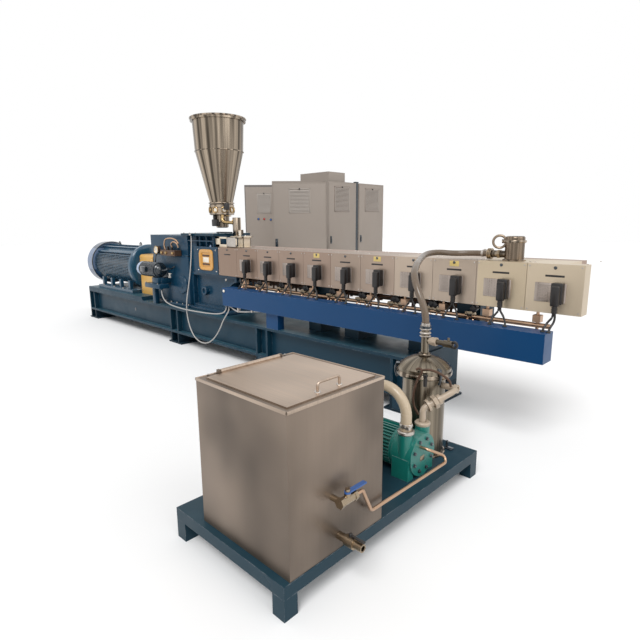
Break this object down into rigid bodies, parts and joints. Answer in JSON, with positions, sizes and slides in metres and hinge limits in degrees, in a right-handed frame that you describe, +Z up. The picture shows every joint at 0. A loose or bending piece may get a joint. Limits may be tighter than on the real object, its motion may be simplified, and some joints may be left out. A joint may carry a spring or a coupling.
{
  "type": "plastic extruder",
  "caption": "Twin-screw plastic extruder on a steel base: motor, gearbox, covered barrel, feed hopper, vacuum unit with tank and pump, and control cabinets.",
  "frame": {"origin": "on the floor, at the middle of the base's second leg", "axes": "+X along the barrel towards the die, +Y away from the operator, +Z up"},
  "size_m": [7.2229, 7.034, 2.296],
  "materials": {
    "teal_paint": "satin enamel",
    "motor_paint": "satin enamel",
    "bright_steel": "bright band",
    "yellow_paint": "gloss enamel",
    "black_steel": "gloss",
    "brown_steel": "cast, oiled",
    "dark_steel": "machined, dark",
    "cover_steel": "brushed sheet",
    "black_plastic": "moulded",
    "black_rubber": "sleeved",
    "blue_paint": "satin enamel",
    "copper": "drawn tube",
    "polished_steel": "polished",
    "cream_steel": "satin",
    "hose_plastic": "reinforced hose",
    "skid_paint": "satin enamel",
    "tank_steel": "brushed sheet",
    "brass_metal": "cast",
    "blue_plastic": "dipped grip",
    "green_paint": "enamel on castings",
    "pvc": "pipe",
    "pvc_grey": "pipe and fittings",
    "cabinet_paint": "fine textured powder coat",
    "cable_grey": "sheathed"
  },
  "bodies": {
    "machine": {"back_covers": "cover_steel", "barrel": "dark_steel", "barrel_flange": "dark_steel", "barrel_pedestals": "teal_paint", "barrel_rail": "teal_paint", "base_frame": "teal_paint", "base_legs": "teal_paint", "cabinet_1": "cabinet_paint", "cabinet_2": "cabinet_paint", "cabinet_3": "cabinet_paint", "cabinet_4": "cabinet_paint", "cabinet_top_unit": "cabinet_paint", "cable_tray": "blue_paint", "condenser_body": "polished_steel", "condenser_lid": "polished_steel", "cooling_pipes": "copper", "coupling_guard": "yellow_paint", "discharge_pipe": "pvc", "drain_valve": "brass_metal", "feed_bracket": "polished_steel", "feed_chute": "polished_steel", "feed_pedestal": "teal_paint", "feed_throat": "cream_steel", "feeder_cable": "cable_grey", "feeder_neck": "dark_steel", "front_covers": "cover_steel", "gearbox_block": "teal_paint", "gearbox_housing": "teal_paint", "gearbox_lid": "teal_paint", "heater_leads": "black_rubber", "heater_plugs": "black_plastic", "hopper": "polished_steel", "lantern_housing": "teal_paint", "motor_body": "motor_paint", "motor_cowl": "bright_steel", "motor_feet": "motor_paint", "motor_plate": "teal_paint", "oil_block": "brown_steel", "oil_pump": "black_steel", "pump_cable": "cable_grey", "pump_head": "green_paint", "pump_motor": "green_paint", "skid_frame": "skid_paint", "skid_legs": "skid_paint", "suction_pipe": "pvc_grey", "tank_body": "tank_steel", "tank_valve": "brass_metal", "top_covers": "cover_steel", "tray_posts": "blue_paint", "vacuum_hose": "hose_plastic", "vent_pipe": "polished_steel", "vent_stack": "polished_steel", "water_pipe": "copper"},
    "cabinet_door_1": {"cabinet_door_1": "cabinet_paint"},
    "cabinet_door_2": {"cabinet_door_2": "cabinet_paint"},
    "tank_lid": {"tank_lid": "tank_steel"},
    "tank_valve_lever": {"tank_valve_lever": "blue_plastic"}
  },
  "joints": [
    {"name": "cabinet_door_1_hinge", "type": "hinge", "parent": "machine", "child": "cabinet_door_1", "pos_m": [-2.28366, 3.44412, 1], "axis": [0, 0, 1], "range_deg": [0, 110]},
    {"name": "cabinet_door_2_hinge", "type": "hinge", "parent": "machine", "child": "cabinet_door_2", "pos_m": [-0.35174, 2.48533, 0.95], "axis": [0, 0, 1], "range_deg": [0, 110]},
    {"name": "tank_lid_hinge", "type": "hinge", "parent": "machine", "child": "tank_lid", "pos_m": [3.258, -1.794, 0.729], "axis": [0, -1, 0], "range_deg": [0, 95]},
    {"name": "tank_valve_turn", "type": "hinge", "parent": "machine", "child": "tank_valve_lever", "pos_m": [3.788, -1.808, 0.377], "axis": [0, 0, -1], "range_deg": [0, 90]}
  ]
}
